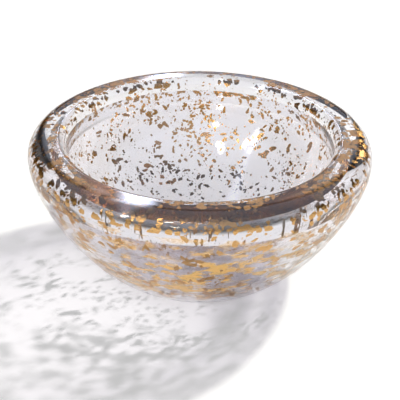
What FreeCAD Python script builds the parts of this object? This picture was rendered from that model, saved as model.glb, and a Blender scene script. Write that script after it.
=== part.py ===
import FreeCAD, Part
import math
import os
import random

# Double-walled bowl of blown glass for floating candles. Gold leaf is laid on the hot glass and
# cased under a clear skin. Every glass piece is a ring turned about the Z axis. Millimetres, +Z up,
# origin at the middle of the flat face that the bowl stands on.

# Whole bowl
outer_diameter = 250.0
bowl_height = 109.0

# Outer wall
foot_radius = 48.8
wall_thickness = 5.0
foot_pull_share = 0.39
belly_pull_share = 0.28

# Rolled rim
roll_radius = 13.4
crown_width = 7.8
lip_radius = 6.3
rim_depth = 22.0
roof_rise_share = 0.5

# Inner bowl
floor_height = 24.0
floor_radius = 18.0
inner_wall_thickness = 5.0
round_pull_share = 0.5523

# Foot disc, a little wider than the flat that it stands on
foot_thickness = 9.0
foot_margin = 3.2

# Clear casing over the leaf
casing_thickness = 1.2
leaf_space = 0.5

# Gold leaf
leaf_thickness = 0.16
leaf_cell = 10.0
leaf_shape_seed = 11
leaf_corner_counts = (6, 7, 8, 9)
smallest_flake_share = 0.34
largest_flake_share = 0.92
shallowest_corner_share = 0.55
cutter_reach_share = 0.5

# Share of the cells that hold a flake, from the foot to the middle of the floor
outer_wall_leaf_share = 0.12
roll_leaf_share = 0.40
crown_leaf_share = 0.50
lip_leaf_share = 0.40
inner_wall_leaf_share = 0.2
floor_leaf_share = 0.60
outer_wall_bare_share = 0.35

# How finely an offset wall line is fitted
line_points = 17
cut_overrun = 10.0

outer_radius = outer_diameter / 2
mouth_radius = outer_radius - roll_radius - crown_width - lip_radius
widest_height = bowl_height - roll_radius
lip_height = bowl_height - lip_radius
rim_joint_height = bowl_height - rim_depth
core_depth = casing_thickness + leaf_space
leaf_depth = casing_thickness + (leaf_space - leaf_thickness) / 2

Z_AXIS = FreeCAD.Vector(0, 0, 1)
ORIGIN = FreeCAD.Vector(0, 0, 0)


def at(radius, height):
    """A point of the section, which is drawn in the XZ plane."""
    return FreeCAD.Vector(radius, 0, height)


def wall_line(foot, top, foot_pull, top_pull):
    """A wall's section line: level at its foot and upright at its top, with the pulls that shape it."""
    level = at(foot.x + foot_pull * (top.x - foot.x), foot.z)
    upright = at(top.x, top.z - top_pull * (top.z - foot.z))
    curve = Part.BezierCurve()
    curve.setPoles([foot, level, upright, top])
    return curve


outer_line = wall_line(at(foot_radius, 0), at(outer_radius, widest_height), foot_pull_share, belly_pull_share)
inner_line = wall_line(at(floor_radius, floor_height), at(mouth_radius, lip_height),
                       round_pull_share, round_pull_share)


def outer_wall_point(share, depth):
    """A point of the outer wall, from its foot at 0 to its widest line at 1, at a depth in the glass."""
    tangent = outer_line.tangent(share)[0]
    return outer_line.value(share) + at(-tangent.z, tangent.x) * depth


def inner_wall_point(share, depth):
    """A point of the inner bowl's wall, from the floor at 0 to the lip at 1, at a depth in the glass."""
    tangent = inner_line.tangent(share)[0]
    return inner_line.value(share) + at(tangent.z, -tangent.x) * depth


def roll_point(share, depth):
    """A point of the rim's outer roll, from the widest line at 0 to the crown at 1."""
    turn = share * math.pi / 2
    radius = roll_radius - depth
    return at(outer_radius - roll_radius + radius * math.cos(turn), widest_height + radius * math.sin(turn))


def crown_point(share, depth):
    """A point of the rim's level crown, from the roll at 0 to the lip at 1."""
    start = outer_radius - roll_radius
    end = mouth_radius + lip_radius
    return at(start + share * (end - start), bowl_height - depth)


def lip_point(share, depth):
    """A point of the rim's inner lip, from the crown at 0 to the mouth's narrowest line at 1."""
    turn = math.pi / 2 + share * math.pi / 2
    radius = lip_radius - depth
    return at(mouth_radius + lip_radius + radius * math.cos(turn), lip_height + radius * math.sin(turn))


def floor_point(share, depth):
    """A point of the inner bowl's flat floor, from its middle at 0 to its edge at 1."""
    return at(share * floor_radius, floor_height - depth)


def fitted_line(point_on, start, end, depth):
    """A smooth edge along a wall at a depth, between two shares of its length."""
    points = [point_on(start + (end - start) * k / (line_points - 1), depth) for k in range(line_points)]
    curve = Part.BSplineCurve()
    curve.interpolate(points)
    return curve.toShape()


def arc_edge(point_on, depth):
    """The round edge of the roll or the lip at a depth."""
    middle = (0 + 1) / 2
    return Part.Arc(point_on(0, depth), point_on(middle, depth), point_on(1, depth)).toShape()


def straight(first, last):
    return Part.LineSegment(first, last).toShape()


def share_at_height(point_on, depth, height):
    """The share of a wall's length at which the line at this depth passes a height."""
    low, high = 0.0, 1.0
    while high - low > 1e-9:
        middle = (low + high) / 2
        if point_on(middle, depth).z < height:
            low = middle
        else:
            high = middle
    return low


def glass_section(depth):
    """The filled section of the whole bowl, its outline moved this deep into the glass."""
    edges = [straight(at(0, depth), outer_wall_point(0, depth)),
             fitted_line(outer_wall_point, 0, 1, depth),
             arc_edge(roll_point, depth),
             straight(roll_point(1, depth), lip_point(0, depth)),
             arc_edge(lip_point, depth),
             fitted_line(inner_wall_point, 1, 0, depth),
             straight(inner_wall_point(0, depth), at(0, floor_height - depth)),
             straight(at(0, floor_height - depth), at(0, depth))]
    return Part.Face(Part.Wire(edges))


def chamber_section():
    """The sealed air space between the walls. Its roof is the crease where the two walls fuse."""
    foot_share = share_at_height(outer_wall_point, wall_thickness, foot_thickness)
    outer_share = share_at_height(outer_wall_point, wall_thickness, rim_joint_height)
    inner_share = share_at_height(inner_wall_point, inner_wall_thickness, rim_joint_height)
    foot_corner = outer_wall_point(foot_share, wall_thickness)
    outer_spring = outer_wall_point(outer_share, wall_thickness)
    inner_spring = inner_wall_point(inner_share, inner_wall_thickness)
    roof_width = outer_spring.x - inner_spring.x
    crease = at(inner_spring.x + roof_width / 2, rim_joint_height + roof_rise_share * roof_width)
    inner_foot = inner_wall_point(0, inner_wall_thickness)
    edges = [straight(at(0, foot_corner.z), foot_corner),
             fitted_line(outer_wall_point, foot_share, outer_share, wall_thickness),
             straight(outer_spring, crease),
             straight(crease, inner_spring),
             fitted_line(inner_wall_point, inner_share, 0, inner_wall_thickness),
             straight(inner_foot, at(0, inner_foot.z)),
             straight(at(0, inner_foot.z), at(0, foot_corner.z))]
    return Part.Face(Part.Wire(edges))


def rectangle(radius, low, high):
    """A block of the section from the axis out to a radius, between two heights."""
    corners = [at(0, low), at(radius, low), at(radius, high), at(0, high), at(0, low)]
    return Part.Face(Part.makePolygon(corners))


def turned(section):
    """Turns a section's faces a full round about the Z axis."""
    solids = [face.revolve(ORIGIN, Z_AXIS, 360) for face in section.Faces]
    return solids[0] if len(solids) == 1 else Part.makeCompound(solids)


def inside_and_outside(section):
    """The two faces that a cut at the rim's joint leaves below it: the inner bowl and the outer wall."""
    return sorted(section.Faces, key=lambda face: face.BoundBox.XMax)


def glass_pieces():
    foot = glass_section(0).common(rectangle(foot_radius + foot_margin, 0, foot_thickness))
    above = rectangle(outer_radius + cut_overrun, rim_joint_height, bowl_height + cut_overrun)
    core = glass_section(core_depth).cut(chamber_section()).cut(foot)
    casing = glass_section(0).cut(glass_section(casing_thickness)).cut(foot)
    inner_core, outer_core = inside_and_outside(core.cut(above))
    inner_casing, outer_casing = inside_and_outside(casing.cut(above))
    return {"foot_disc": turned(foot),
            "outer_wall": turned(outer_core),
            "outer_casing": turned(outer_casing),
            "rim_roll": turned(core.common(above)),
            "rim_casing": turned(casing.common(above)),
            "inner_bowl": turned(inner_core),
            "inner_casing": turned(inner_casing)}


def strip_edge(point_on, start, end, depth):
    """One long edge of a leaf strip: an arc along the glass, or a line where the glass is level."""
    middle = (start + end) / 2
    first, centre, last = (point_on(share, depth) for share in (start, middle, end))
    if abs((centre - first).cross(last - first).Length) < 1e-6:
        return straight(first, last)
    return Part.Arc(first, centre, last).toShape()


def flake(point_on, start, end, width, azimuth, chance):
    """A scrap of leaf: a thin curved strip that follows the glass, trimmed to an uneven outline."""
    near, far = leaf_depth, leaf_depth + leaf_thickness
    edges = [strip_edge(point_on, start, end, near),
             straight(point_on(end, near), point_on(end, far)),
             strip_edge(point_on, end, start, far),
             straight(point_on(start, far), point_on(start, near))]
    middle = point_on((start + end) / 2, near)
    half_turn = math.degrees(width / 2 / middle.x)
    strip = Part.Face(Part.Wire(edges)).revolve(ORIGIN, Z_AXIS, 2 * half_turn)
    strip.rotate(ORIGIN, Z_AXIS, -half_turn)

    along = (point_on(end, near) - point_on(start, near))
    half_length = along.Length / 2
    along.normalize()
    across = FreeCAD.Vector(0, 1, 0)
    outward = across.cross(along)
    corner_count = chance.choice(leaf_corner_counts)
    first_turn = chance.random()
    corners = []
    for corner in range(corner_count):
        turn = 2 * math.pi * (corner + first_turn) / corner_count
        reach = chance.uniform(shallowest_corner_share, 1)
        corners.append(middle + along * (half_length * reach * math.sin(turn))
                       + across * (width / 2 * reach * math.cos(turn)))
    cutter_reach = cutter_reach_share * leaf_cell
    corners = [point - outward * cutter_reach for point in corners]
    outline = Part.Face(Part.makePolygon(corners + corners[:1]))
    scrap = strip.common(outline.extrude(outward * (2 * cutter_reach)))
    scrap.rotate(ORIGIN, Z_AXIS, azimuth)
    return scrap.Solids


def leaf_zone(name, point_on, start, end, fill_share):
    """Leaf over one stretch of the glass: at most one scrap in each cell of a ring, so none touch."""
    chance = random.Random(f"{name} {leaf_shape_seed}")
    length = fitted_line(point_on, start, end, leaf_depth).Length
    rows = max(1, round(length / leaf_cell))
    row_share = (end - start) / rows
    scraps = []
    for row in range(rows):
        row_start = start + row * row_share
        row_radius = point_on(row_start + row_share / 2, leaf_depth).x
        cells = max(1, int(2 * math.pi * row_radius / leaf_cell))
        cell_width = 2 * math.pi * row_radius / cells
        for cell in range(cells):
            if chance.random() > fill_share:
                continue
            tall = chance.uniform(smallest_flake_share, largest_flake_share)
            wide = chance.uniform(smallest_flake_share, largest_flake_share)
            flake_start = row_start + row_share * chance.uniform(0, 1 - tall)
            slip = chance.uniform(0, 1 - wide) + wide / 2
            azimuth = 360 * (cell + slip) / cells
            scraps += flake(point_on, flake_start, flake_start + tall * row_share,
                            wide * cell_width, azimuth, chance)
    return Part.makeCompound(scraps)


def leaf_pieces():
    zones = {"leaf_outer_wall": (outer_wall_point, outer_wall_bare_share, 1, outer_wall_leaf_share),
             "leaf_rim_roll": (roll_point, 0, 1, roll_leaf_share),
             "leaf_rim_crown": (crown_point, 0, 1, crown_leaf_share),
             "leaf_rim_lip": (lip_point, 0, 1, lip_leaf_share),
             "leaf_bowl_wall": (inner_wall_point, 0, 1, inner_wall_leaf_share),
             "leaf_bowl_floor": (floor_point, 0, 1, floor_leaf_share)}
    return {name: leaf_zone(name, *zone) for name, zone in zones.items()}


pieces = {**glass_pieces(), **leaf_pieces()}
os.makedirs("parts", exist_ok=True)
for name, shape in pieces.items():
    shape.exportStep(f"parts/{name}.step")
    print(f"{name}: {len(shape.Solids)} solids, {shape.Volume:.0f} mm3, valid {shape.isValid()}")
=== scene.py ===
import math

import bpy
import numpy as np
from mathutils import Matrix, Vector


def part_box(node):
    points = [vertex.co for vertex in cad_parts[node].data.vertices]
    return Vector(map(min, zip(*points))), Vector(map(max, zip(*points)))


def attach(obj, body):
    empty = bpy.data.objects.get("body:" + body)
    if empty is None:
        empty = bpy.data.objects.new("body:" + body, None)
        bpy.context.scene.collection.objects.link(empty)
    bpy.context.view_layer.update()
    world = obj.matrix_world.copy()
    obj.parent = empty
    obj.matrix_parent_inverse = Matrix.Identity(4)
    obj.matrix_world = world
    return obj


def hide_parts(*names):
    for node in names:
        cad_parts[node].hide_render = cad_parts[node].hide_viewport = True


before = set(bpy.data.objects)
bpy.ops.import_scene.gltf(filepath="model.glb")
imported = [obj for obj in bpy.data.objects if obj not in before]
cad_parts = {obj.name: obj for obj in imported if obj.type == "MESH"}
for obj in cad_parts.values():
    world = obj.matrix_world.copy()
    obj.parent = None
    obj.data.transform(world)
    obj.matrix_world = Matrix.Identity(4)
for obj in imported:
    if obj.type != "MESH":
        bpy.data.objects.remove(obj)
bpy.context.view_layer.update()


# Foot disc
# A thick round of clear soda-lime glass, gathered with the outer wall and ground flat underneath.
# The bowl stands on it, and its upper face closes the air chamber between the two walls.
mm = 0.001
outer_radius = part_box("rim_casing")[1].x
bowl_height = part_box("rim_casing")[1].z
foot_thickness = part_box("foot_disc")[1].z
foot_disc_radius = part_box("foot_disc")[1].x
foot_radius = 48.8 * mm
roll_radius = 13.4 * mm
foot_pull_share = 0.39
belly_pull_share = 0.28
wall_samples = 72
skirt_samples = 8
level_samples = 6
ring_samples = 240
glass_face = 0
joint_face = 1
radius_column = 0
height_column = 1

# A Mix node of colours has several sockets of one name, so its colours and their mix go by number.
of_colours = {"data_type": "RGBA"}
first_colour = 6
second_colour = 7
mixed_colour = 2


def add_node(tree, kind, settings=None, values=None, links=None):
    """Adds a node: settings are its own properties, values its inputs, and links the sockets that feed
    its inputs."""
    node = tree.nodes.new(kind)
    for name, value in (settings or {}).items():
        setattr(node, name, value)
    for name, value in (values or {}).items():
        node.inputs[name].default_value = value
    for name, socket in (links or {}).items():
        tree.links.new(socket, node.inputs[name])
    return node


def linear(hex_colour):
    """An sRGB hex colour as linear red, green and blue, with full alpha."""
    shares = [int(hex_colour[start:start + 2], 16) / 255 for start in (1, 3, 5)]
    light = [share / 12.92 if share <= 0.04045 else ((share + 0.055) / 1.055) ** 2.4 for share in shares]
    return light + [1.0]


def new_material(name):
    """An empty material and its tree."""
    material = bpy.data.materials.new(name)
    material.use_nodes = True
    material.node_tree.nodes.clear()
    return material, material.node_tree


# Clear soda-lime glass, blown and fire-polished: no roughness at all, the index of common glass, long
# shallow ripples from the blowing and fine level ones from turning it, which draw out what is seen
# through it. Lamps shine through it, less where they strike at a slant, so its shadow is pale.
def soda_lime_glass():
    ripple_length = 34 * mm
    ripple_depth = 0.35 * mm
    ripple_strength = 0.25
    turning_length = 45 * mm
    turning_height = 2.6 * mm
    turning_depth = 0.03 * mm
    glass_index = 1.5
    slant_blend = 0.25
    material, tree = new_material("clear_soda_lime_glass")
    place = add_node(tree, "ShaderNodeTexCoord")
    ripples = add_node(tree, "ShaderNodeTexNoise", values={"Scale": 1 / ripple_length, "Detail": 1.0},
                       links={"Vector": place.outputs["Object"]})
    drawn_out = add_node(tree, "ShaderNodeMapping",
                         values={"Scale": (1 / turning_length, 1 / turning_length, 1 / turning_height)},
                         links={"Vector": place.outputs["Object"]})
    turning = add_node(tree, "ShaderNodeTexNoise", values={"Scale": 1.0, "Detail": 1.0},
                       links={"Vector": drawn_out.outputs["Vector"]})
    level_bump = add_node(tree, "ShaderNodeBump", values={"Strength": 1.0, "Distance": turning_depth},
                          links={"Height": turning.outputs["Fac"]})
    bump = add_node(tree, "ShaderNodeBump", values={"Strength": ripple_strength, "Distance": ripple_depth},
                    links={"Height": ripples.outputs["Fac"], "Normal": level_bump.outputs["Normal"]})
    glass = add_node(tree, "ShaderNodeBsdfPrincipled",
                     values={"Base Color": linear("#FCFBFE"), "Roughness": 0.0, "IOR": glass_index,
                             "Transmission Weight": 1.0},
                     links={"Normal": bump.outputs["Normal"]})
    slant = add_node(tree, "ShaderNodeLayerWeight", values={"Blend": slant_blend})
    lamp_tint = add_node(tree, "ShaderNodeMix", of_colours,
                         values={first_colour: linear("#FAF9FB"), second_colour: linear("#C2BECA")},
                         links={0: slant.outputs["Facing"]})
    lamp_light = add_node(tree, "ShaderNodeBsdfTransparent", links={"Color": lamp_tint.outputs[mixed_colour]})
    path = add_node(tree, "ShaderNodeLightPath")
    either = add_node(tree, "ShaderNodeMixShader",
                      links={0: path.outputs["Is Shadow Ray"], 1: glass.outputs["BSDF"],
                             2: lamp_light.outputs["BSDF"]})
    add_node(tree, "ShaderNodeOutputMaterial", links={"Surface": either.outputs["Shader"]})
    return material


# Two gathers of hot glass fuse into one where they touch, so there is nothing to see at the joint.
def fused_glass():
    material, tree = new_material("fused_glass_joint")
    unseen = add_node(tree, "ShaderNodeBsdfTransparent")
    add_node(tree, "ShaderNodeOutputMaterial", links={"Surface": unseen.outputs["BSDF"]})
    return material


def wall_line(foot, top, foot_pull, top_pull):
    """A blown wall's section line, level at its foot and upright at its top. It gives a run of points
    between two shares of its length, each with the direction that faces out of the glass."""
    foot_handle = (foot[0] + foot_pull * (top[0] - foot[0]), foot[1])
    top_handle = (top[0], top[1] - top_pull * (top[1] - foot[1]))
    poles = np.array([foot, foot_handle, top_handle, top])

    def run(start, end, samples=wall_samples):
        share = np.linspace(start, end, samples)[:, None]
        rest = 1 - share
        points = (rest ** 3 * poles[0] + 3 * share * rest ** 2 * poles[1]
                  + 3 * share ** 2 * rest * poles[2] + share ** 3 * poles[3])
        ahead = (rest ** 2 * (poles[1] - poles[0]) + 2 * share * rest * (poles[2] - poles[1])
                 + share ** 2 * (poles[3] - poles[2]))
        if end < start:
            ahead = -ahead
        ahead /= np.linalg.norm(ahead, axis=1)[:, None]
        return np.column_stack([points, ahead[:, 1], -ahead[:, 0]])
    return run


def straight(first, last, samples=2):
    """A straight run of the section, facing to the right of its way."""
    points = np.linspace(first, last, samples)
    ahead = (np.array(last) - np.array(first)) / np.linalg.norm(np.array(last) - np.array(first))
    return np.column_stack([points, np.full(samples, ahead[1]), np.full(samples, -ahead[0])])


def sunk(run, depth):
    """A run moved this deep into the glass."""
    return np.column_stack([run[:, :2] - run[:, 2:] * depth, run[:, 2:]])


def share_where(line, depth, column, value):
    """The share of a wall line's length at which it, at this depth, reaches a radius or a height."""
    halvings = 40
    step_ahead = 1e-6
    low = 0.0
    high = 1.0
    for halving in range(halvings):
        middle = (low + high) / 2
        if sunk(line(middle, middle + step_ahead, 2), depth)[0, column] < value:
            low = middle
        else:
            high = middle
    return low


def turned(name, section, closed=False):
    """Turns a section a full round about the Z axis. Each of its runs comes with its kind of face and
    keeps its own smooth normals. A closed section ends where it starts."""
    on_axis = 0.0001 * mm
    turns = 2 * math.pi * np.arange(ring_samples) / ring_samples
    outline = [run[:-1, :2] for run, kind in section]
    if not closed:
        last_run = section[-1][0]
        outline.append(last_run[-1:, :2])
    rings = []
    corners = []
    for radius, height in np.concatenate(outline):
        if radius < on_axis:
            rings.append([len(corners)] * ring_samples)
            corners.append((0, 0, height))
        else:
            rings.append(list(range(len(corners), len(corners) + ring_samples)))
            corners += [(radius * math.cos(turn), radius * math.sin(turn), height) for turn in turns]
    faces = []
    kinds = []
    normals = []
    ring = 0
    for run, kind in section:
        for step in range(len(run) - 1):
            low = rings[ring]
            high = rings[(ring + 1) % len(rings)]
            low_facing = run[step, 2:]
            high_facing = run[step + 1, 2:]
            for near in range(ring_samples):
                far = (near + 1) % ring_samples
                loop = [(low[near], low_facing, near), (low[far], low_facing, far),
                        (high[far], high_facing, far), (high[near], high_facing, near)]
                if low[near] == low[far]:
                    loop.pop(1)
                elif high[near] == high[far]:
                    loop.pop(2)
                faces.append([corner for corner, _, _ in loop])
                kinds.append(kind)
                normals += [(facing[0] * math.cos(turns[turn]), facing[0] * math.sin(turns[turn]), facing[1])
                            for _, facing, turn in loop]
            ring += 1
    mesh = bpy.data.meshes.new(name)
    mesh.from_pydata(corners, [], faces)
    mesh.polygons.foreach_set("use_smooth", [True] * len(faces))
    mesh.polygons.foreach_set("material_index", kinds)
    mesh.normals_split_custom_set(normals)
    piece = bpy.data.objects.new(name, mesh)
    bpy.context.scene.collection.objects.link(piece)
    return piece


def glass_piece(name, section, *nodes, closed=False):
    """A turned piece of clear glass, with its fused joints left unseen, in place of these CAD nodes."""
    piece = turned(name, section, closed)
    piece.data.materials.append(clear_glass)
    piece.data.materials.append(fused_joint)
    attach(piece, "root")
    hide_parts(*nodes)


clear_glass = soda_lime_glass()
fused_joint = fused_glass()
widest_height = bowl_height - roll_radius
outer_line = wall_line((foot_radius, 0), (outer_radius, widest_height), foot_pull_share, belly_pull_share)
foot_edge = share_where(outer_line, 0, radius_column, foot_disc_radius)
foot_skirt = outer_line(0, foot_edge, skirt_samples)
foot_shoulder = (foot_disc_radius, foot_thickness)
foot_section = [(straight((0, 0), (foot_radius, 0), level_samples), glass_face),
                (foot_skirt, glass_face),
                (straight(foot_skirt[-1, :2], foot_shoulder), joint_face),
                (straight(foot_shoulder, (0, foot_thickness), level_samples), glass_face)]
glass_piece("foot_of_bowl", foot_section, "foot_disc")


# Outer wall
# The bowl's round outside, blown in clear glass and cased with a thin clear skin over the gold leaf.
# Core and skin are fused, so they are one wall here. It is fused to the foot and to the rim.
wall_thickness = 5 * mm
rim_joint_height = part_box("rim_roll")[0].z
chamber_floor_samples = 4


def backed(run):
    """A run taken the other way, facing the other side."""
    return np.column_stack([run[::-1, :2], -run[::-1, 2:]])


outer_joint = share_where(outer_line, 0, height_column, rim_joint_height)
chamber_foot = share_where(outer_line, wall_thickness, height_column, foot_thickness)
chamber_spring = share_where(outer_line, wall_thickness, height_column, rim_joint_height)
outside = outer_line(foot_edge, outer_joint)
chamber_side = backed(sunk(outer_line(chamber_foot, chamber_spring), wall_thickness))
outer_section = [(outside, glass_face),
                 (straight(outside[-1, :2], chamber_side[0, :2]), joint_face),
                 (chamber_side, glass_face),
                 (straight(chamber_side[-1, :2], foot_shoulder, chamber_floor_samples), glass_face),
                 (straight(foot_shoulder, outside[0, :2]), joint_face)]
glass_piece("outer_wall_of_bowl", outer_section, "outer_wall", "outer_casing", closed=True)


# Rolled rim
# The wide lip, rolled over and fire-polished while hot: a round outer edge, a nearly level crown and
# a small round inner lip. Inside, the two walls meet in a sharp crease over the air chamber.
lip_radius = 6.3 * mm
crown_width = 7.8 * mm
inner_wall_thickness = 5 * mm
floor_height = 24 * mm
floor_radius = 18 * mm
round_pull_share = 0.5523
roof_rise_share = 0.5
roll_samples = 28
crown_samples = 4
lip_samples = 20
mouth_samples = 24
roof_samples = 8
rim_side_samples = 16
mouth_radius = outer_radius - roll_radius - crown_width - lip_radius
lip_height = bowl_height - lip_radius
inner_line = wall_line((floor_radius, floor_height), (mouth_radius, lip_height),
                       round_pull_share, round_pull_share)


def inner_line_down(start, end, samples):
    """The inner bowl's line taken downwards, so that it faces the water and its depth is in the glass."""
    return inner_line(end, start, samples)


def round_run(centre, radius, start_turn, end_turn, samples):
    """A round run of the section about a centre."""
    turns = np.linspace(start_turn, end_turn, samples)
    facing = np.column_stack([np.cos(turns), np.sin(turns)])
    return np.column_stack([np.array(centre) + radius * facing, facing])


roll = round_run((outer_radius - roll_radius, widest_height), roll_radius, 0, math.pi / 2, roll_samples)
lip = round_run((mouth_radius + lip_radius, lip_height), lip_radius, math.pi / 2, math.pi, lip_samples)
crown = straight(roll[-1, :2], lip[0, :2], crown_samples)
inner_joint = share_where(inner_line, 0, height_column, rim_joint_height)
inner_spring = share_where(inner_line_down, inner_wall_thickness, height_column, rim_joint_height)
mouth_side = inner_line(1, inner_joint, mouth_samples)
inner_back = sunk(inner_line(inner_spring, 0), inner_wall_thickness)
inner_foot = inner_back[0, :2]
outer_foot = chamber_side[0, :2]
roof_width = outer_foot[0] - inner_foot[0]
crease = (inner_foot[0] + roof_width / 2, rim_joint_height + roof_rise_share * roof_width)
rim_outside = outer_line(outer_joint, 1, rim_side_samples)
rim_section = [(rim_outside, glass_face),
               (roll, glass_face),
               (crown, glass_face),
               (lip, glass_face),
               (mouth_side, glass_face),
               (straight(mouth_side[-1, :2], inner_foot), joint_face),
               (straight(inner_foot, crease, roof_samples), glass_face),
               (straight(crease, outer_foot, roof_samples), glass_face),
               (straight(outer_foot, rim_outside[0, :2]), joint_face)]
glass_piece("rolled_rim", rim_section, "rim_roll", "rim_casing", closed=True)


# Inner bowl
# The round-bottomed bowl that holds the water and the candles, blown in clear glass and cased over
# its own leaf. It hangs from the rim inside the outer wall, with the air chamber all round it.
floor_back = floor_height - inner_wall_thickness
inside = inner_line(inner_joint, 0)
bowl_floor = straight((floor_radius, floor_height), (0, floor_height), level_samples)
inner_section = [(straight((0, floor_back), (floor_radius, floor_back), level_samples), glass_face),
                 (backed(inner_back), glass_face),
                 (straight(inner_foot, inside[0, :2]), joint_face),
                 (inside, glass_face),
                 (bowl_floor, glass_face)]
glass_piece("inner_bowl_of_glass", inner_section, "inner_bowl", "inner_casing")


# Gold leaf
# Leaf of real gold, laid on the hot glass and cased under a clear skin. Blowing and rolling tear it
# into scraps and specks: large on the rim, smaller inside, sparse and drawn out on the outer wall.
leaf_depth = 1.37 * mm
leaf_thickness = 0.05 * mm
leaf_bare_share = 0.35
plain_face = 0
multiply = {"operation": "MULTIPLY"}


# Beaten gold leaf under glass: a soft metal mirror, warm and a little reddish, creased as it was torn.
def beaten_gold_leaf():
    crease_size = 2.2 * mm
    crease_depth = 0.1 * mm
    crease_strength = 0.3
    material, tree = new_material("beaten_gold_leaf")
    place = add_node(tree, "ShaderNodeTexCoord")
    creases = add_node(tree, "ShaderNodeTexNoise", values={"Scale": 1 / crease_size, "Detail": 2.0},
                       links={"Vector": place.outputs["Object"]})
    bump = add_node(tree, "ShaderNodeBump", values={"Strength": crease_strength, "Distance": crease_depth},
                    links={"Height": creases.outputs["Fac"]})
    tone = add_node(tree, "ShaderNodeMix", of_colours,
                    values={first_colour: linear("#C8954A"), second_colour: linear("#E6BA78")},
                    links={0: creases.outputs["Fac"]})
    metal = add_node(tree, "ShaderNodeBsdfPrincipled", values={"Metallic": 1.0, "Roughness": 0.22},
                     links={"Base Color": tone.outputs[mixed_colour], "Normal": bump.outputs["Normal"]})
    add_node(tree, "ShaderNodeOutputMaterial", links={"Surface": metal.outputs["BSDF"]})
    return material


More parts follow.
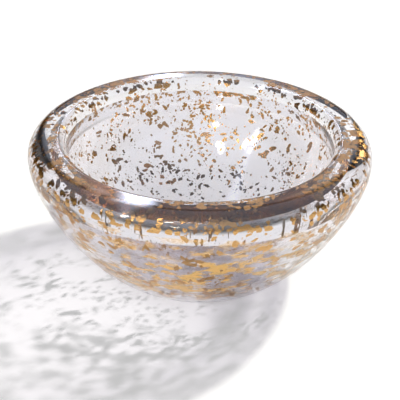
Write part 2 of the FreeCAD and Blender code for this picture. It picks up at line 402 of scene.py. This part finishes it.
# Scatters torn scraps over a surface: points drawn at random and thinned by a slow noise, a fan of
# triangles on each, its corners pulled in at random, laid on the surface and given a thickness.
# Density is in scraps per square metre, Smallest and Largest are widths, Length is how many times its
# width a scrap can be long, Clump is the scale of the noise, Bare is its level where the leaf ends,
# and Far side is the share of the leaf that is left at the back.
def torn_leaf_tree(leaf_material):
    scrap_corners = 9
    deepest_tear = 0.45
    densest_noise = 0.75
    densest_gain = 2.5
    front_edge = -30 * mm
    back_edge = 30 * mm
    small_scrap_power = 3.0
    length_seed = 5
    turn_seed = 8
    tear_seed = 3
    merge_distance = 0.001 * mm
    unit_radius = 0.5
    # The sockets of a random number, which go by number too: the least, the most and the one drawn.
    least = 2
    most = 3
    drawn = 1

    tree = bpy.data.node_groups.new("torn_leaf", "GeometryNodeTree")
    tree.interface.new_socket("Surface", in_out="INPUT", socket_type="NodeSocketGeometry")
    for name in ("Density", "Smallest", "Largest", "Length", "Clump", "Bare", "Far side"):
        tree.interface.new_socket(name, in_out="INPUT", socket_type="NodeSocketFloat")
    tree.interface.new_socket("Seed", in_out="INPUT", socket_type="NodeSocketInt")
    tree.interface.new_socket("Leaf", in_out="OUTPUT", socket_type="NodeSocketGeometry")
    given = add_node(tree, "NodeGroupInput")
    where = add_node(tree, "GeometryNodeInputPosition")

    # Points, as dense as Density says, fewer where the noise is low and towards the far side.
    slow_noise = add_node(tree, "ShaderNodeTexNoise", values={"Detail": 1.0},
                          links={"Scale": given.outputs["Clump"]})
    clumps = add_node(tree, "ShaderNodeMapRange", values={"From Max": densest_noise, "To Max": densest_gain},
                      links={"Value": slow_noise.outputs["Fac"], "From Min": given.outputs["Bare"]})
    axes = add_node(tree, "ShaderNodeSeparateXYZ", links={"Vector": where.outputs["Position"]})
    side_share = add_node(tree, "ShaderNodeMapRange",
                          values={"From Min": front_edge, "From Max": back_edge, "To Min": 1.0},
                          links={"Value": axes.outputs["Y"], "To Max": given.outputs["Far side"]})
    clumped = add_node(tree, "ShaderNodeMath", multiply,
                       links={0: given.outputs["Density"], 1: clumps.outputs["Result"]})
    thinned = add_node(tree, "ShaderNodeMath", multiply,
                       links={0: clumped.outputs[0], 1: side_share.outputs["Result"]})
    points = add_node(tree, "GeometryNodeDistributePointsOnFaces",
                      links={"Mesh": given.outputs["Surface"], "Density": thinned.outputs[0],
                             "Seed": given.outputs["Seed"]})
    middles = add_node(tree, "GeometryNodeCaptureAttribute")
    middles.capture_items.new("VECTOR", "Middle")
    tree.links.new(points.outputs["Points"], middles.inputs["Geometry"])
    tree.links.new(where.outputs["Position"], middles.inputs["Middle"])

    # A flat scrap on each point, mostly small, some of them long, each turned its own way.
    draw = add_node(tree, "FunctionNodeRandomValue", links={"Seed": given.outputs["Seed"]})
    mostly_small = add_node(tree, "ShaderNodeMath", settings={"operation": "POWER"},
                            values={1: small_scrap_power}, links={0: draw.outputs[drawn]})
    size = add_node(tree, "ShaderNodeMapRange",
                    links={"Value": mostly_small.outputs[0], "To Min": given.outputs["Smallest"],
                           "To Max": given.outputs["Largest"]})
    stretch = add_node(tree, "FunctionNodeRandomValue", values={least: 1.0, "Seed": length_seed},
                       links={most: given.outputs["Length"]})
    long_side = add_node(tree, "ShaderNodeMath", multiply,
                         links={0: size.outputs["Result"], 1: stretch.outputs[drawn]})
    sides = add_node(tree, "ShaderNodeCombineXYZ", values={"Z": 1.0},
                     links={"X": long_side.outputs[0], "Y": size.outputs["Result"]})
    turn = add_node(tree, "FunctionNodeRandomValue", values={most: 2 * math.pi, "Seed": turn_seed})
    turned_scrap = add_node(tree, "FunctionNodeAxisAngleToRotation", links={"Angle": turn.outputs[drawn]})
    lying = add_node(tree, "FunctionNodeRotateRotation", settings={"rotation_space": "LOCAL"},
                     links={"Rotation": points.outputs["Rotation"],
                            "Rotate By": turned_scrap.outputs["Rotation"]})
    round_scrap = add_node(tree, "GeometryNodeMeshCircle", settings={"fill_type": "TRIANGLE_FAN"},
                           values={"Vertices": scrap_corners, "Radius": unit_radius})
    scraps = add_node(tree, "GeometryNodeInstanceOnPoints",
                      links={"Points": middles.outputs["Geometry"], "Instance": round_scrap.outputs["Mesh"],
                             "Rotation": lying.outputs["Rotation"], "Scale": sides.outputs["Vector"]})
    real = add_node(tree, "GeometryNodeRealizeInstances", links={"Geometry": scraps.outputs["Instances"]})

    # Each corner pulled in by its own tear, then laid on the surface under it.
    from_middle = add_node(tree, "ShaderNodeVectorMath", settings={"operation": "SUBTRACT"},
                           links={0: where.outputs["Position"], 1: middles.outputs["Middle"]})
    tear = add_node(tree, "FunctionNodeRandomValue",
                    values={least: deepest_tear, most: 1.0, "Seed": tear_seed})
    pulled_in = add_node(tree, "ShaderNodeVectorMath", settings={"operation": "SCALE"},
                         links={0: from_middle.outputs["Vector"], "Scale": tear.outputs[drawn]})
    torn = add_node(tree, "ShaderNodeVectorMath", settings={"operation": "ADD"},
                    links={0: pulled_in.outputs["Vector"], 1: middles.outputs["Middle"]})
    under_it = add_node(tree, "GeometryNodeSampleNearestSurface", settings={"data_type": "FLOAT_VECTOR"},
                        links={"Mesh": given.outputs["Surface"], "Value": where.outputs["Position"],
                               "Sample Position": torn.outputs["Vector"]})
    laid = add_node(tree, "GeometryNodeSetPosition",
                    links={"Geometry": real.outputs["Geometry"], "Position": under_it.outputs["Value"]})

    # The scraps raised to the leaf's thickness, with an underside, as closed bodies.
    raised = add_node(tree, "GeometryNodeExtrudeMesh",
                      values={"Offset Scale": leaf_thickness, "Individual": False},
                      links={"Mesh": laid.outputs["Geometry"]})
    underside = add_node(tree, "GeometryNodeFlipFaces", links={"Mesh": laid.outputs["Geometry"]})
    both = add_node(tree, "GeometryNodeJoinGeometry")
    tree.links.new(raised.outputs["Mesh"], both.inputs["Geometry"])
    tree.links.new(underside.outputs["Mesh"], both.inputs["Geometry"])
    closed_scraps = add_node(tree, "GeometryNodeMergeByDistance", values={"Distance": merge_distance},
                             links={"Geometry": both.outputs["Geometry"]})
    gilded = add_node(tree, "GeometryNodeSetMaterial", values={"Material": leaf_material},
                      links={"Geometry": closed_scraps.outputs["Geometry"]})
    add_node(tree, "NodeGroupOutput", links={"Leaf": gilded.outputs["Geometry"]})
    return tree


def leaf_piece(name, runs, inputs, *nodes):
    """Scatters leaf under a stretch of the glass and keeps the scraps as one plain mesh."""
    stretch = [(sunk(run, leaf_depth), plain_face) for run in runs]
    surface = turned(name + "_surface", stretch)
    modifier = surface.modifiers.new("torn_leaf", "NODES")
    modifier.node_group = torn_leaf
    for item in torn_leaf.interface.items_tree:
        if item.in_out == "INPUT" and item.name in inputs:
            modifier[item.identifier] = inputs[item.name]
    graph = bpy.context.evaluated_depsgraph_get()
    mesh = bpy.data.meshes.new_from_object(surface.evaluated_get(graph))
    bpy.data.objects.remove(surface)
    mesh.name = name
    piece = bpy.data.objects.new(name, mesh)
    bpy.context.scene.collection.objects.link(piece)
    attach(piece, "root")
    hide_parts(*nodes)


torn_leaf = torn_leaf_tree(beaten_gold_leaf())
leaf_piece("gold_leaf_of_outer_wall", [outer_line(leaf_bare_share, 1)],
           {"Density": 36000.0, "Smallest": 0.8 * mm, "Largest": 7 * mm, "Length": 2.4,
            "Clump": 1 / (32 * mm), "Bare": 0.38, "Far side": 0.35, "Seed": 4},
           "leaf_outer_wall")
leaf_piece("gold_leaf_of_rim", [roll, crown, lip],
           {"Density": 100000.0, "Smallest": 0.7 * mm, "Largest": 7 * mm, "Length": 1.7,
            "Clump": 1 / (20 * mm), "Bare": 0.38, "Far side": 1.0, "Seed": 7},
           "leaf_rim_roll", "leaf_rim_crown", "leaf_rim_lip")
leaf_piece("gold_leaf_of_inner_bowl", [inner_line(1, 0), bowl_floor],
           {"Density": 95000.0, "Smallest": 0.5 * mm, "Largest": 3.6 * mm, "Length": 2.2,
            "Clump": 1 / (20 * mm), "Bare": 0.38, "Far side": 1.0, "Seed": 2},
           "leaf_bowl_wall", "leaf_bowl_floor")


# Gold dust
# Where the leaf was drawn out furthest on the outer wall it broke up into a film of dust, cased with
# the scraps under the same clear skin. It is a closed film in the outer wall's leaf, too fine to feel.
dust_depth = 1.5 * mm
dust_thickness = 0.05 * mm
dust_start_share = 0.3
dust_end_share = 0.97
smoothly = {"interpolation_type": "SMOOTHSTEP"}


# Gold dust in glass: soft tan gold with no edge, thin enough to see through, in level smears. It lies
# on the front of the bowl only, and thins out towards the foot and the rim.
def drawn_gold_dust():
    smear_length = 15 * mm
    smear_height = 6 * mm
    grain_size = 0.9 * mm
    bare_noise = 0.48
    full_noise = 0.62
    fullest_cover = 0.92
    full_front = -100 * mm
    bare_front = -45 * mm
    full_height = 60 * mm
    thin_height = 90 * mm
    thin_foot = 12 * mm
    full_foot = 36 * mm
    thin_share = 0.3
    material, tree = new_material("drawn_gold_dust")
    place = add_node(tree, "ShaderNodeTexCoord")
    axes = add_node(tree, "ShaderNodeSeparateXYZ", links={"Vector": place.outputs["Object"]})
    drawn_out = add_node(tree, "ShaderNodeMapping",
                         values={"Scale": (1 / smear_length, 1 / smear_length, 1 / smear_height)},
                         links={"Vector": place.outputs["Object"]})
    smears = add_node(tree, "ShaderNodeTexNoise", values={"Scale": 1.0, "Detail": 4.0, "Roughness": 0.6},
                      links={"Vector": drawn_out.outputs["Vector"]})
    smear_cover = add_node(tree, "ShaderNodeMapRange", smoothly,
                           values={"From Min": bare_noise, "From Max": full_noise, "To Min": 0.0,
                                   "To Max": fullest_cover},
                           links={"Value": smears.outputs["Fac"]})
    front_share = add_node(tree, "ShaderNodeMapRange", smoothly,
                           values={"From Min": full_front, "From Max": bare_front, "To Min": 1.0,
                                   "To Max": 0.0},
                           links={"Value": axes.outputs["Y"]})
    top_share = add_node(tree, "ShaderNodeMapRange", smoothly,
                         values={"From Min": full_height, "From Max": thin_height, "To Min": 1.0,
                                 "To Max": thin_share},
                         links={"Value": axes.outputs["Z"]})
    foot_share = add_node(tree, "ShaderNodeMapRange", smoothly,
                          values={"From Min": thin_foot, "From Max": full_foot, "To Min": thin_share,
                                  "To Max": 1.0},
                          links={"Value": axes.outputs["Z"]})
    height_share = add_node(tree, "ShaderNodeMath", multiply,
                            links={0: foot_share.outputs["Result"], 1: top_share.outputs["Result"]})
    dust_share = add_node(tree, "ShaderNodeMath", multiply,
                          links={0: front_share.outputs["Result"], 1: height_share.outputs[0]})
    cover = add_node(tree, "ShaderNodeMath", multiply,
                     links={0: smear_cover.outputs["Result"], 1: dust_share.outputs[0]})
    grains = add_node(tree, "ShaderNodeTexNoise", values={"Scale": 1 / grain_size, "Detail": 1.0},
                      links={"Vector": place.outputs["Object"]})
    tone = add_node(tree, "ShaderNodeMix", of_colours,
                    values={first_colour: linear("#DEA64A"), second_colour: linear("#F6D68C")},
                    links={0: grains.outputs["Fac"]})
    film = add_node(tree, "ShaderNodeBsdfPrincipled", values={"Metallic": 0.0, "Roughness": 0.5},
                    links={"Base Color": tone.outputs[mixed_colour]})
    bare_glass = add_node(tree, "ShaderNodeBsdfTransparent")
    dusted = add_node(tree, "ShaderNodeMixShader",
                      links={0: cover.outputs[0], 1: bare_glass.outputs["BSDF"], 2: film.outputs["BSDF"]})
    add_node(tree, "ShaderNodeOutputMaterial", links={"Surface": dusted.outputs["Shader"]})
    return material


dust_face = outer_line(dust_start_share, dust_end_share)
dust_front = sunk(dust_face, dust_depth)
dust_back = backed(sunk(dust_face, dust_depth + dust_thickness))
dust_section = [(dust_front, plain_face),
                (straight(dust_front[-1, :2], dust_back[0, :2]), plain_face),
                (dust_back, plain_face),
                (straight(dust_back[-1, :2], dust_front[0, :2]), plain_face)]
dust = turned("gold_dust_of_outer_wall", dust_section, closed=True)
dust.data.materials.append(drawn_gold_dust())
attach(dust, "root")


# Table, light and camera
# A plain white table in a dark room, with light standing behind the bowl and before it. A small hard
# lamp, high behind on the right, throws the long shadow, and soft lamps light the table and the gold
# dust. The camera looks down on the bowl from the front.
table_size = 4.0
greatest = {"operation": "MAXIMUM"}


# Matt white. The camera sees it a little brighter than it is and, from half a metre off, as plain
# white, so that it runs into the background. All other rays see it darken a little far off: painted
# shade, standing in for the edge of the lamps' pool of light.
def white_table():
    lit_radius = 0.8
    dim_radius = 1.8
    dim_share = 0.8
    seen_brighter = 0.12
    sweep_start = 0.45
    sweep_end = 0.9
    material, tree = new_material("table_white")
    place = add_node(tree, "ShaderNodeTexCoord")
    path = add_node(tree, "ShaderNodeLightPath")
    far = add_node(tree, "ShaderNodeVectorMath", settings={"operation": "LENGTH"},
                   links={0: place.outputs["Object"]})
    # Painted shade: far off, the table's own colour dims, as if the lamps' light ended there.
    painted_pool_falloff = add_node(tree, "ShaderNodeMapRange", smoothly,
                      values={"From Min": lit_radius, "From Max": dim_radius, "To Min": 1.0,
                              "To Max": dim_share},
                      links={"Value": far.outputs["Value"]})
    shown = add_node(tree, "ShaderNodeMath", greatest,
                     links={0: painted_pool_falloff.outputs["Result"], 1: path.outputs["Is Camera Ray"]})
    white = add_node(tree, "ShaderNodeMix", of_colours,
                     values={first_colour: linear("#101012"), second_colour: linear("#FFFFFF")},
                     links={0: shown.outputs[0]})
    matt = add_node(tree, "ShaderNodeBsdfDiffuse", links={"Color": white.outputs[mixed_colour]})
    seen_glow = add_node(tree, "ShaderNodeMath", multiply, values={1: seen_brighter},
                         links={0: path.outputs["Is Camera Ray"]})
    bright = add_node(tree, "ShaderNodeEmission", values={"Color": linear("#FFFFFF")},
                      links={"Strength": seen_glow.outputs[0]})
    paper = add_node(tree, "ShaderNodeAddShader",
                     links={0: matt.outputs["BSDF"], 1: bright.outputs["Emission"]})
    far_off = add_node(tree, "ShaderNodeMapRange", smoothly,
                       values={"From Min": sweep_start, "From Max": sweep_end},
                       links={"Value": far.outputs["Value"]})
    far_shown = add_node(tree, "ShaderNodeMath", multiply,
                         links={0: far_off.outputs["Result"], 1: path.outputs["Is Camera Ray"]})
    backdrop = add_node(tree, "ShaderNodeEmission", values={"Color": linear("#FFFFFF"), "Strength": 1.0})
    sweep = add_node(tree, "ShaderNodeMixShader",
                     links={0: far_shown.outputs[0], 1: paper.outputs["Shader"],
                            2: backdrop.outputs["Emission"]})
    add_node(tree, "ShaderNodeOutputMaterial", links={"Surface": sweep.outputs["Shader"]})
    return material


# The room's light, by direction. The room is nearly dark, but a column of light in level bands stands
# straight behind the bowl and straight before it, and its front glows, faint and bluish. Clear mirror
# reflections, which are glossy rays but not transmitted ones, also show a pale sky above and, in it, a
# bright skylight. The directions mirrored at one place along the rounded rim lie on a cone, so the
# skylight follows such a cone and shows as one patch across the roll.
# The camera sees plain white. Widths, depths and heights are those of a direction one unit long.
def room_light():
    # Two nodes' settings: to drop a number's sign, and to take away from it but stop at nothing.
    unsigned = {"operation": "ABSOLUTE"}
    less_to_none = {"operation": "SUBTRACT", "use_clamp": True}

    # The column: its strength at each height, and how far to the side it is full and ends.
    bands = ((0.02, 0.9), (0.05, 0.1), (0.2, 0.1), (0.26, 0.9),
             (0.56, 0.9), (0.64, 0.5), (0.74, 0.5), (0.84, 0.03))
    column_half_width = 0.2
    column_end = 0.34
    side_share = 0.08

    # The glow in front and the sky above: the depths at which each is full and ends.
    glow_strength = 0.5
    glow_full_depth = -0.6
    glow_end_depth = -0.25
    sky_strength = 1.8
    sky_full_depth = 0.5
    sky_end_depth = 0.75
    sky_start_height = 0.3
    sky_full_height = 0.46

    # The skylight's cone, and how it narrows and brightens from overhead towards the back.
    skylight_lean = (0.912, -0.409, 0.0)
    skylight_offset = 0.402
    wide_depth = 0.55
    narrow_depth = 0.84
    wide_half_width = 0.08
    narrow_half_width = 0.02
    dim_depth = 0.45
    bright_depth = 0.75
    dim_strength = 6.0
    bright_strength = 22.0

    world = bpy.data.worlds.new("room")
    world.use_nodes = True
    tree = world.node_tree
    tree.nodes.clear()
    direction = add_node(tree, "ShaderNodeTexCoord")
    axes = add_node(tree, "ShaderNodeSeparateXYZ", links={"Vector": direction.outputs["Generated"]})
    path = add_node(tree, "ShaderNodeLightPath")

    column = add_node(tree, "ShaderNodeValToRGB", links={"Fac": axes.outputs["Z"]})
    marks = column.color_ramp.elements
    for height, strength in bands:
        mark = marks.new(height)
        mark.color = (strength, strength, strength, 1)
    marks.remove(marks[0])
    marks.remove(marks[-1])
    sideways = add_node(tree, "ShaderNodeMath", unsigned, links={0: axes.outputs["X"]})
    in_column = add_node(tree, "ShaderNodeMapRange", smoothly,
                         values={"From Min": column_half_width, "From Max": column_end, "To Min": 1.0,
                                 "To Max": side_share},
                         links={"Value": sideways.outputs[0]})
    lit_room = add_node(tree, "ShaderNodeMath", multiply,
                        links={0: column.outputs["Color"], 1: in_column.outputs["Result"]})
    front_glow = add_node(tree, "ShaderNodeMapRange", smoothly,
                          values={"From Min": glow_full_depth, "From Max": glow_end_depth,
                                  "To Min": glow_strength, "To Max": 0.0},
                          links={"Value": axes.outputs["Y"]})
    all_round = add_node(tree, "ShaderNodeMath", greatest,
                         links={0: lit_room.outputs[0], 1: front_glow.outputs["Result"]})

    along_lean = add_node(tree, "ShaderNodeVectorMath", settings={"operation": "DOT_PRODUCT"},
                          values={1: skylight_lean}, links={0: direction.outputs["Generated"]})
    off_cone = add_node(tree, "ShaderNodeMath", settings={"operation": "ADD"}, values={1: skylight_offset},
                        links={0: along_lean.outputs["Value"]})
    from_cone = add_node(tree, "ShaderNodeMath", unsigned, links={0: off_cone.outputs[0]})
    half_width = add_node(tree, "ShaderNodeMapRange",
                          values={"From Min": wide_depth, "From Max": narrow_depth,
                                  "To Min": wide_half_width, "To Max": narrow_half_width},
                          links={"Value": axes.outputs["Y"]})
    glare = add_node(tree, "ShaderNodeMapRange",
                     values={"From Min": dim_depth, "From Max": bright_depth, "To Min": dim_strength,
                             "To Max": bright_strength},
                     links={"Value": axes.outputs["Y"]})
    pale_sky = add_node(tree, "ShaderNodeMapRange", smoothly,
                        values={"From Min": sky_full_depth, "From Max": sky_end_depth,
                                "To Min": sky_strength, "To Max": 0.0},
                        links={"Value": axes.outputs["Y"]})
    sky = add_node(tree, "ShaderNodeMapRange", smoothly,
                   links={"Value": from_cone.outputs[0], "From Max": half_width.outputs["Result"],
                          "To Min": glare.outputs["Result"], "To Max": pale_sky.outputs["Result"]})
    above = add_node(tree, "ShaderNodeMapRange", smoothly,
                     values={"From Min": sky_start_height, "From Max": sky_full_height},
                     links={"Value": axes.outputs["Z"]})
    high_sky = add_node(tree, "ShaderNodeMath", multiply,
                        links={0: sky.outputs["Result"], 1: above.outputs["Result"]})
    mirrored = add_node(tree, "ShaderNodeMath", less_to_none,
                        links={0: path.outputs["Is Glossy Ray"], 1: path.outputs["Is Transmission Ray"]})
    shine = add_node(tree, "ShaderNodeMath", multiply,
                     links={0: high_sky.outputs[0], 1: mirrored.outputs[0]})

    lit_all = add_node(tree, "ShaderNodeMath", greatest,
                       links={0: all_round.outputs[0], 1: shine.outputs[0]})
    seen = add_node(tree, "ShaderNodeMath", greatest,
                    links={0: lit_all.outputs[0], 1: path.outputs["Is Camera Ray"]})
    cool_light = add_node(tree, "ShaderNodeMath", greatest,
                          links={0: front_glow.outputs["Result"], 1: mirrored.outputs[0]})
    cool_share = add_node(tree, "ShaderNodeMath", less_to_none,
                          links={0: cool_light.outputs[0], 1: path.outputs["Is Camera Ray"]})
    daylight = add_node(tree, "ShaderNodeMix", of_colours,
                        values={first_colour: linear("#FFFFFF"), second_colour: linear("#D8E4FF")},
                        links={0: cool_share.outputs[0]})
    air = add_node(tree, "ShaderNodeBackground",
                   links={"Color": daylight.outputs[mixed_colour], "Strength": seen.outputs[0]})
    add_node(tree, "ShaderNodeOutputWorld", links={"Surface": air.outputs["Background"]})
    return world


def soft_lamp(name, place, width, height, power, colour, lights=True, shows=True):
    """An oval lamp aimed at the bowl, its height upright. It lights matt things, shows in gloss, or both."""
    aim_height = 50 * mm
    light = bpy.data.lights.new(name, "AREA")
    light.shape = "ELLIPSE"
    light.size = width
    light.size_y = height
    light.energy = power
    light.color = linear(colour)[:3]
    lamp = bpy.data.objects.new(name, light)
    lamp.location = place
    lamp.rotation_euler = (Vector((0, 0, aim_height)) - Vector(place)).to_track_quat("-Z", "Y").to_euler()
    lamp.visible_diffuse = lights
    lamp.visible_glossy = shows
    lamp.visible_transmission = shows
    bpy.context.scene.collection.objects.link(lamp)


table_half = table_size / 2
table_corners = [(-table_half, -table_half, 0), (table_half, -table_half, 0),
                 (table_half, table_half, 0), (-table_half, table_half, 0)]
table_mesh = bpy.data.meshes.new("table")
table_mesh.from_pydata(table_corners, [], [(0, 1, 2, 3)])
table_mesh.materials.append(white_table())
table = bpy.data.objects.new("table", table_mesh)
bpy.context.scene.collection.objects.link(table)
bpy.context.scene.world = room_light()

# The window's lamp throws the shadow but shows in nothing: its glint, which is weaker, shows instead.
window_place = (2.05, 1.72, 2.42)
soft_lamp("window", window_place, width=0.24, height=0.24, power=112, colour="#FFFDF8", shows=False)
soft_lamp("window_glint", window_place, width=0.24, height=0.24, power=45, colour="#ECF0FF", lights=False)

# Two broad lamps fill the matt things, and three small cards glint in the gold and the glass.
soft_lamp("side_lamp", (-1.2, -0.66, 1.86), width=0.5, height=0.9, power=4, colour="#FAFBFF", shows=False)
soft_lamp("front_lamp", (-0.3, -2.4, 0.42), width=1.0, height=0.6, power=74, colour="#FFFBF4", shows=False)
soft_lamp("front_card", (-0.6, -2.3, 0.95), width=0.26, height=0.22, power=2.6, colour="#FFF6E2",
          lights=False)
soft_lamp("upper_front_card", (-0.42, -1.1, 1.15), width=0.15, height=0.15, power=1.2, colour="#FFF9EE",
          lights=False)
soft_lamp("left_card", (-0.95, -0.8, 0.9), width=0.12, height=0.3, power=1.8, colour="#FFFFFF",
          lights=False)

# In a picture this wide, the bowl's radius takes so many pixels and its axis stands in this column.
image_width = 400
pixels_for_radius = 167.5
centre_column = 199.4
sensor_width = 36
camera_elevation = math.radians(29)
camera_roll = math.radians(0.8)
camera_distance = 7.5 * outer_radius
target_height = 0.43 * outer_radius
camera = bpy.data.cameras.new("camera")
camera.sensor_width = sensor_width
camera.lens = sensor_width * pixels_for_radius * camera_distance / (image_width * outer_radius)
camera.shift_x = (image_width / 2 - centre_column) / image_width
viewer = bpy.data.objects.new("camera", camera)
viewer.location = (0, -camera_distance * math.cos(camera_elevation),
                   target_height + camera_distance * math.sin(camera_elevation))
aim = Vector((0, math.cos(camera_elevation), -math.sin(camera_elevation))).to_track_quat("-Z", "Y")
viewer.rotation_mode = "QUATERNION"
viewer.rotation_quaternion = aim @ Matrix.Rotation(camera_roll, 4, "Z").to_quaternion()
bpy.context.scene.collection.objects.link(viewer)
bpy.context.scene.camera = viewer

# Light is mirrored inside the thick rim many times over, so it takes more bounces than most things.
glass_bounces = 32
bpy.context.scene.view_settings.view_transform = "Standard"
bpy.context.scene.cycles.max_bounces = glass_bounces
bpy.context.scene.cycles.glossy_bounces = glass_bounces
bpy.context.scene.cycles.transmission_bounces = glass_bounces
bpy.context.scene.cycles.transparent_max_bounces = 2 * glass_bounces
bpy.context.scene.cycles.caustics_reflective = False
bpy.context.scene.cycles.caustics_refractive = False
